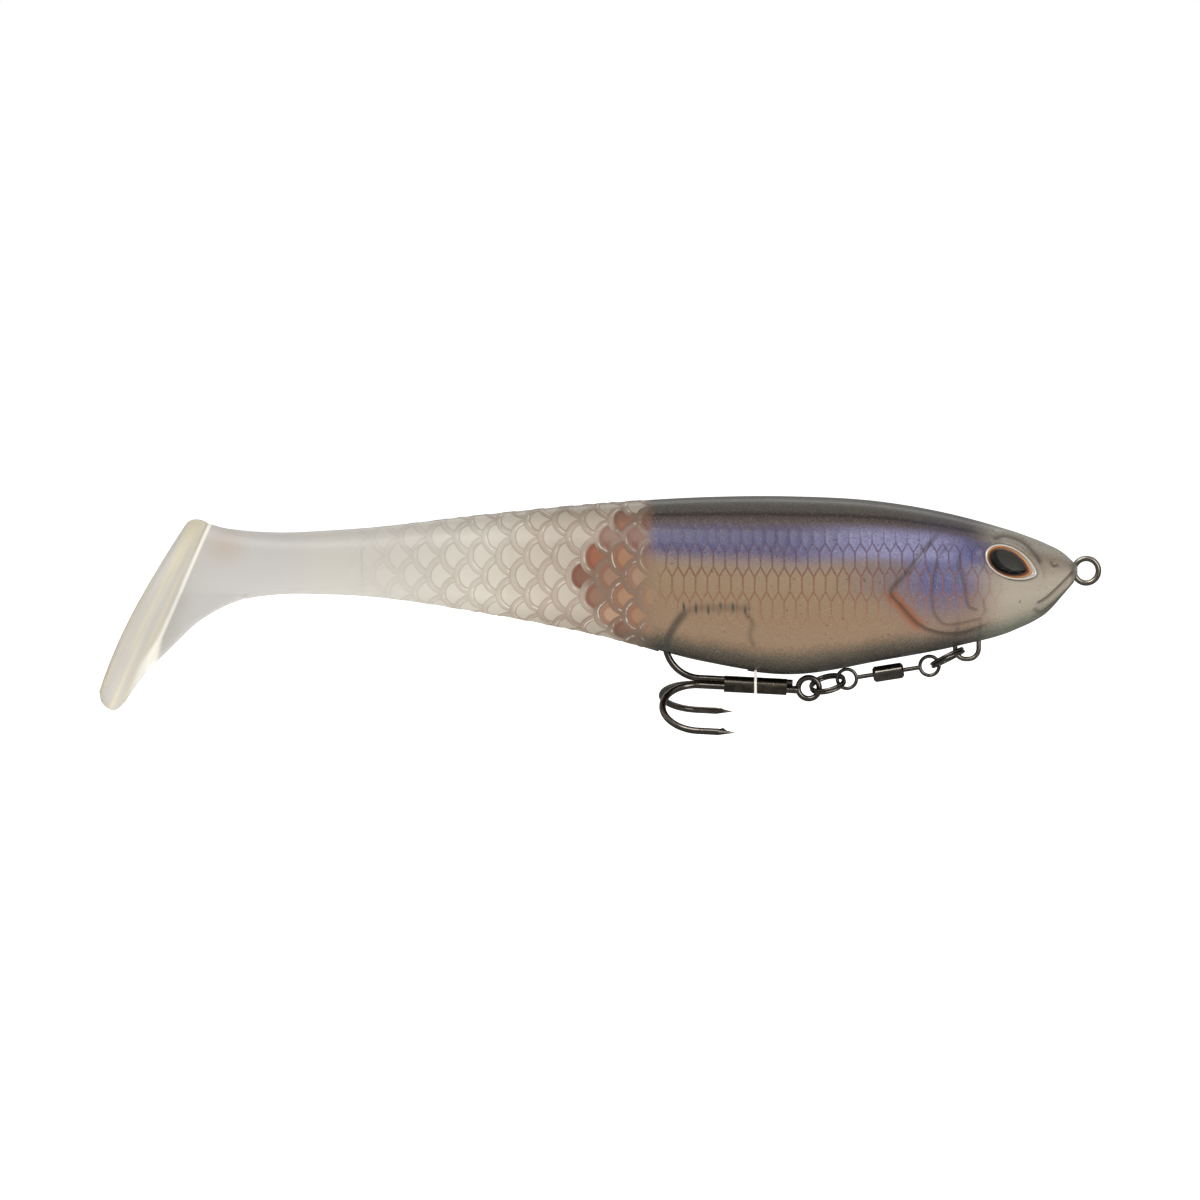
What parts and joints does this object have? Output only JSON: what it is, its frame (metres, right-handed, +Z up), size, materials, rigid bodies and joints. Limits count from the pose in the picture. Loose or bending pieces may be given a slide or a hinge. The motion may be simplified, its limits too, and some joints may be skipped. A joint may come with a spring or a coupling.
{
  "type": "swimbait",
  "caption": "Soft paddle-tail swimbait with a clear skin over a coloured core, a line tie ring, and a treble hung from a barrel swivel under a slotted belly.",
  "frame": {"origin": "centre of the line tie ring at the nose", "axes": "+X out of the nose, along the length; +Z up through the back; Y across"},
  "size_m": [0.2076, 0.0288, 0.0489],
  "materials": {
    "skin": "clear, slightly milky soft plastic, glossy",
    "core": "pearl print, dark back, violet flank, tan belly",
    "black_nickel": "black nickel plating",
    "braze": "black nickel plating over braze",
    "wire": "dull stainless wire",
    "collar": "satin grey",
    "weight": "cast",
    "keeper": "clear strand",
    "eye_foil": "bright foil with a copper ring",
    "pupil": "gloss black",
    "lens": "clear dome"
  },
  "bodies": {
    "body": {"body_core": "core", "body_skin": "skin", "harness_wire": "wire", "nose_collar": "collar", "keel_weight": "weight", "hook_keeper": "keeper", "left_eye_foil": "eye_foil", "left_eye_pupil": "pupil", "left_eye_lens": "lens", "right_eye_foil": "eye_foil", "right_eye_pupil": "pupil", "right_eye_lens": "lens"},
    "tail_front": {"tail_front": "skin"},
    "tail_rear": {"tail_rear": "skin"},
    "tail_end": {"tail_paddle": "skin"},
    "front_ring": {"front_split_ring": "black_nickel"},
    "swivel_front": {"swivel_front_eye": "black_nickel"},
    "barrel": {"swivel_barrel": "black_nickel"},
    "swivel_rear": {"swivel_rear_eye": "black_nickel"},
    "rear_ring": {"rear_split_ring": "black_nickel"},
    "treble": {"treble_double_hook": "black_nickel", "treble_single_hook": "black_nickel", "treble_braze": "braze"}
  },
  "joints": [
    {"name": "tail_front_flex", "type": "hinge", "parent": "body", "child": "tail_front", "pos_m": [-0.104, 0, 0], "axis": [0, 0, 1], "range_deg": [-25, 25], "stiffness_Nm_per_rad": 0.03},
    {"name": "tail_rear_flex", "type": "hinge", "parent": "tail_front", "child": "tail_rear", "pos_m": [-0.135, 0, 0], "axis": [0, 0, 1], "range_deg": [-25, 25], "stiffness_Nm_per_rad": 0.03},
    {"name": "paddle_flex", "type": "hinge", "parent": "tail_rear", "child": "tail_end", "pos_m": [-0.166, 0, 0], "axis": [0, 0, 1], "range_deg": [-25, 25], "stiffness_Nm_per_rad": 0.03},
    {"name": "front_ring_swing", "type": "hinge", "parent": "body", "child": "front_ring", "pos_m": [-0.0256, 0, -0.0165], "axis": [0, -1, 0], "range_deg": [0, 60]},
    {"name": "swivel_swing", "type": "hinge", "parent": "front_ring", "child": "swivel_front", "pos_m": [-0.03193, 0, -0.01972], "axis": [0, -1, 0], "range_deg": [0, 40]},
    {"name": "barrel_spin", "type": "hinge", "parent": "swivel_front", "child": "barrel", "pos_m": [-0.04111, 0, -0.02118], "axis": [-0.9877, 0, -0.1564], "continuous": true},
    {"name": "swivel_turn", "type": "hinge", "parent": "swivel_front", "child": "swivel_rear", "pos_m": [-0.04111, 0, -0.02118], "axis": [-0.9877, 0, -0.1564], "range_deg": [-3, 3]},
    {"name": "rear_ring_swing", "type": "hinge", "parent": "swivel_rear", "child": "rear_ring", "pos_m": [-0.0503, 0, -0.02263], "axis": [0, -1, 0], "range_deg": [0, 40]},
    {"name": "treble_swing", "type": "hinge", "parent": "rear_ring", "child": "treble", "pos_m": [-0.05716, 0, -0.02447], "axis": [0, -1, 0], "range_deg": [0, 40]}
  ]
}
